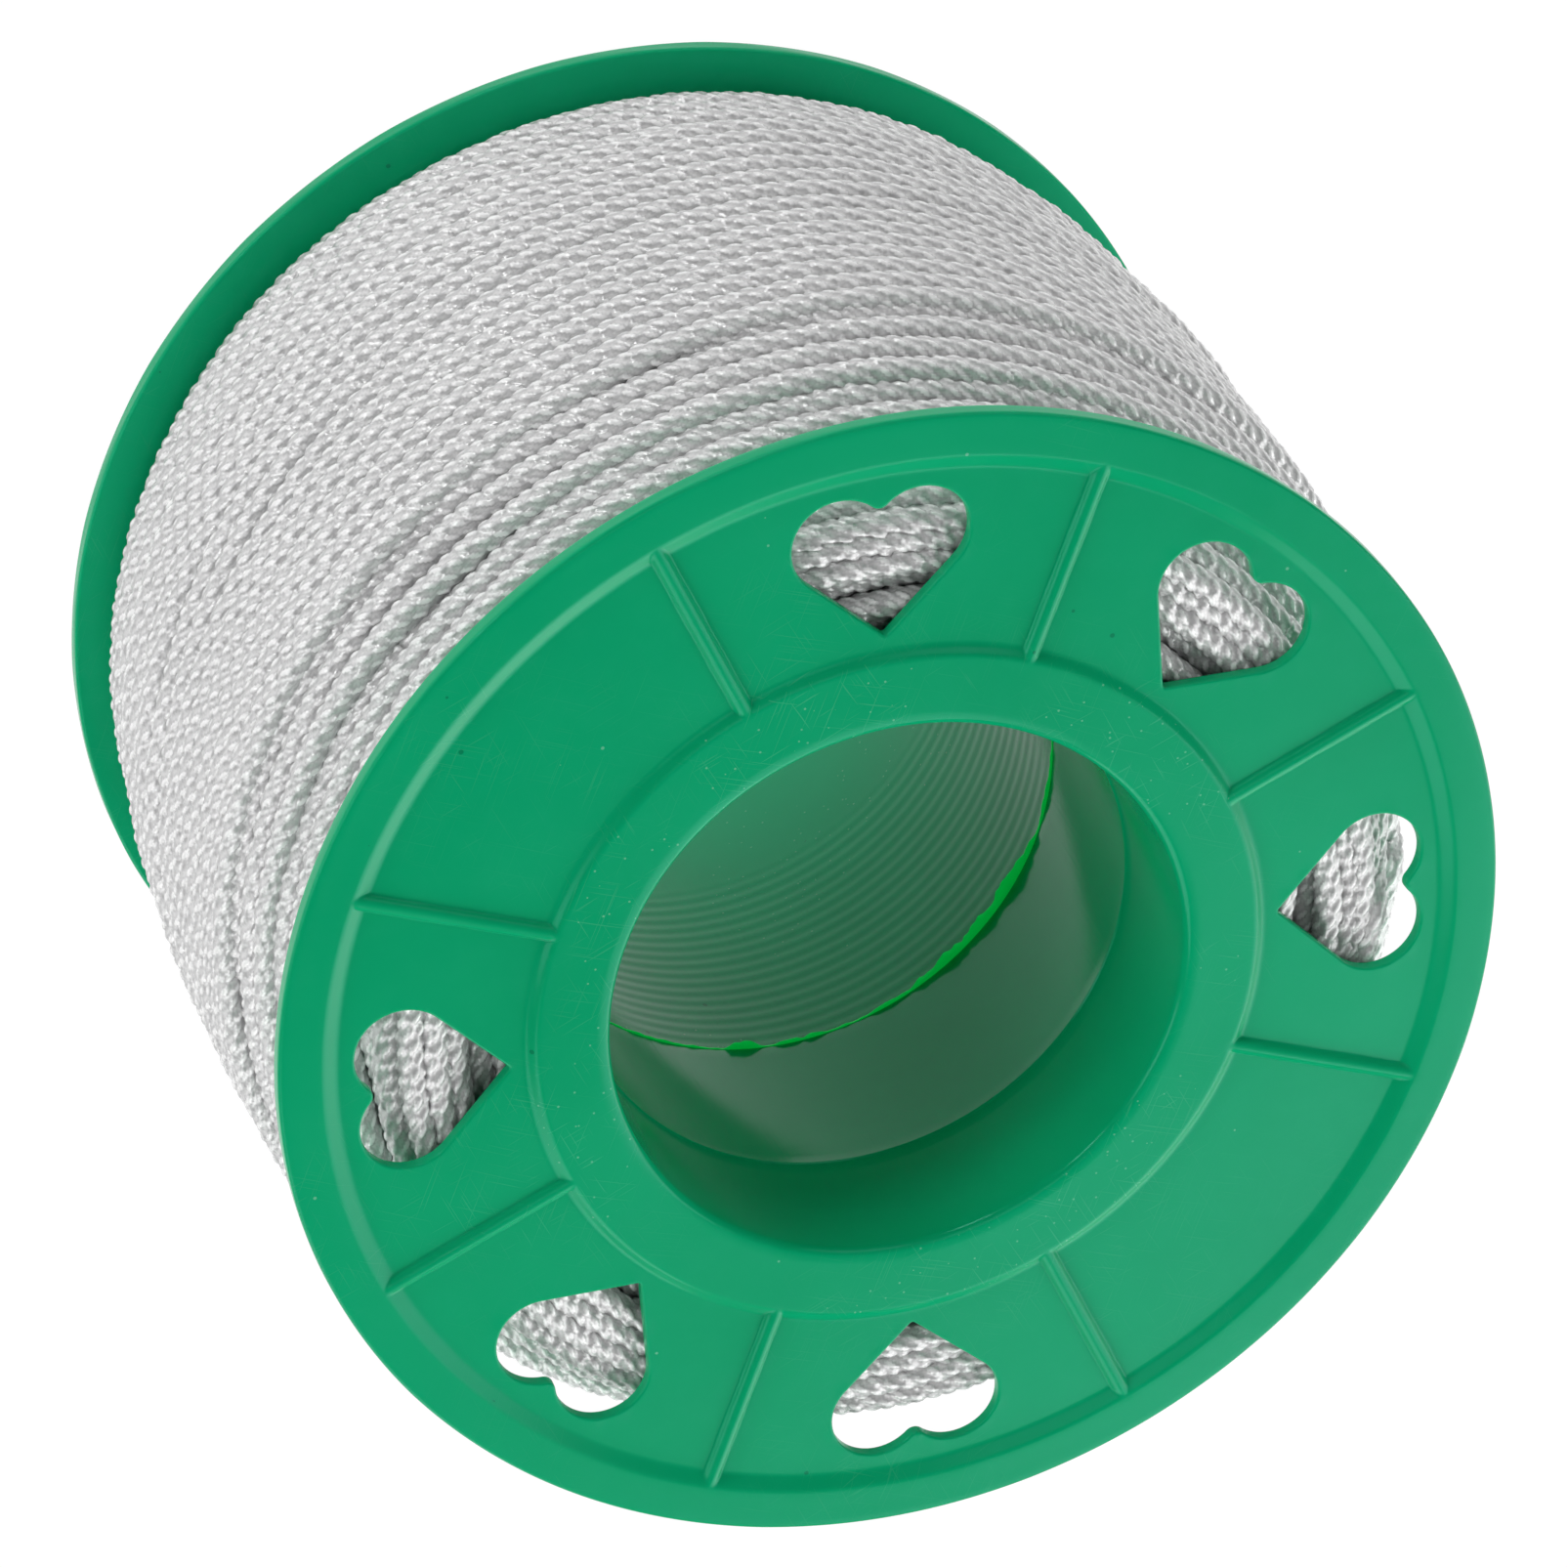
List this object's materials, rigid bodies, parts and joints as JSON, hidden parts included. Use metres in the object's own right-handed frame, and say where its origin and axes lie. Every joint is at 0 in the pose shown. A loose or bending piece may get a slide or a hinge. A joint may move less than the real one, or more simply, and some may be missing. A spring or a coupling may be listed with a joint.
{
  "type": "fishing line spool",
  "caption": "Flanged plastic spool with heart-shaped holes in its flanges and a through bore, wound full of white braided cord.",
  "frame": {"origin": "centre of the rear flange's outer face", "axes": "+Z along the spool's axis, from the rear flange to the front flange; +X near the middle of one heart hole"},
  "size_m": [0.1, 0.1, 0.0724],
  "materials": {
    "green_moulding": "satin moulded green",
    "white_cord": "braided white cord"
  },
  "bodies": {
    "root": {"front_flange": "green_moulding", "rear_flange": "green_moulding", "line_winding": "white_cord"}
  },
  "joints": []
}
